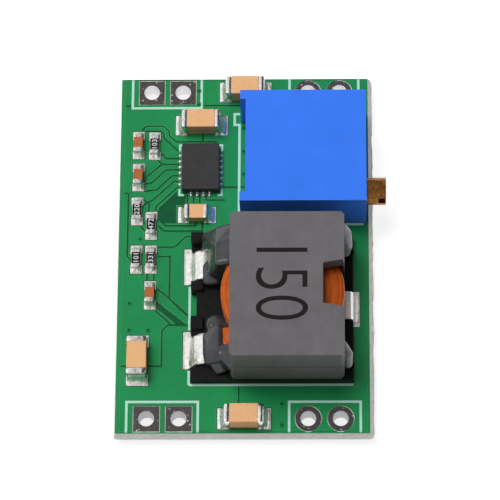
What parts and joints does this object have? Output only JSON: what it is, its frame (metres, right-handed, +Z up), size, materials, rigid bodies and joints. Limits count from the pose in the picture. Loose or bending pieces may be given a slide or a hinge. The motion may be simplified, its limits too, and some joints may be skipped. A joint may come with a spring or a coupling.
{
  "type": "buck converter module",
  "caption": "Small step-down converter board with a side-adjust trimmer, a ferrite-cored power inductor, a controller chip, chip parts and plated corner holes.",
  "frame": {"origin": "centre of the board's plain underside", "axes": "+X along the board's width, the way the trimmer's screw points; +Y along its length, from the inductor's end to the trimmer's end; +Z up, out of the populated face"},
  "size_m": [0.0215, 0.0304, 0.0085],
  "materials": {
    "fr4": "satin",
    "solder_mask": "gloss",
    "masked_copper": "gloss",
    "print": "matte",
    "tinned_copper": "satin",
    "masked_via": "gloss",
    "pad_tin": "satin",
    "solder": "gloss",
    "trimmer_plastic": "satin",
    "screw_brass": "turned",
    "seal_rubber": "matte",
    "wheel_plastic": "satin",
    "spring_alloy": "polished",
    "element_ceramic": "matte",
    "resistive_ink": "matte",
    "sealing_epoxy": "satin",
    "pin_tin": "satin",
    "base_plastic": "matte",
    "ferrite": "matte",
    "enamelled_wire": "gloss",
    "clip_tin": "satin",
    "adhesive": "satin",
    "mould_compound": "matte",
    "lead_tin": "satin",
    "end_tin": "satin",
    "resistor_glaze": "gloss",
    "substrate": "matte",
    "brown_dielectric": "matte",
    "tan_dielectric": "matte"
  },
  "bodies": {
    "board": {"circuit_board": "fr4", "top_mask": "solder_mask", "bottom_mask": "solder_mask", "copper_relief": "masked_copper", "silkscreen": "print", "header_pads": "tinned_copper", "vias": "masked_via", "surface_pads": "pad_tin", "solder_fillets": "solder", "trimmer_housing": "trimmer_plastic", "screw_seal_ring": "seal_rubber", "element_plate": "element_ceramic", "resistive_film": "resistive_ink", "potting": "sealing_epoxy", "trimmer_pins": "pin_tin", "pin_solder": "solder", "inductor_base": "base_plastic", "lower_core": "ferrite", "upper_core": "ferrite", "inductor_winding": "enamelled_wire", "anchor_clip": "clip_tin", "epoxy_beads": "adhesive", "controller_package": "mould_compound", "controller_leads": "lead_tin", "input_capacitor": "tan_dielectric", "input_capacitor_ends": "end_tin", "supply_capacitor": "tan_dielectric", "supply_capacitor_ends": "end_tin", "filter_capacitor": "tan_dielectric", "filter_capacitor_ends": "end_tin", "output_capacitor": "tan_dielectric", "output_capacitor_ends": "end_tin", "bypass_capacitor": "tan_dielectric", "bypass_capacitor_ends": "end_tin", "small_capacitor_1": "brown_dielectric", "small_capacitor_1_ends": "end_tin", "small_capacitor_2": "brown_dielectric", "small_capacitor_2_ends": "end_tin", "small_capacitor_3": "brown_dielectric", "small_capacitor_3_ends": "end_tin", "resistor_1": "substrate", "resistor_1_coat": "resistor_glaze", "resistor_1_ends": "end_tin", "resistor_2": "substrate", "resistor_2_coat": "resistor_glaze", "resistor_2_ends": "end_tin", "resistor_3": "substrate", "resistor_3_coat": "resistor_glaze", "resistor_3_ends": "end_tin", "resistor_4": "substrate", "resistor_4_coat": "resistor_glaze", "resistor_4_ends": "end_tin", "resistor_5": "substrate", "resistor_5_coat": "resistor_glaze", "resistor_5_ends": "end_tin"},
    "screw": {"adjusting_screw": "screw_brass"},
    "wheel": {"wiper_wheel": "wheel_plastic", "wiper": "spring_alloy"}
  },
  "joints": [
    {"name": "screw_turn", "type": "hinge", "parent": "board", "child": "screw", "pos_m": [0.00972, 0.00423, 0.00402], "axis": [1, 0, 0], "range_deg": [-4500, 4500]},
    {"name": "wheel_turn", "type": "hinge", "parent": "board", "child": "wheel", "pos_m": [0.00448, 0.00751, 0.00402], "axis": [0, 0, 1], "range_deg": [-137, 137]}
  ],
  "couplings": [
    {"joint": "wheel_turn", "follows": "screw_turn", "ratio": -0.030303}
  ]
}
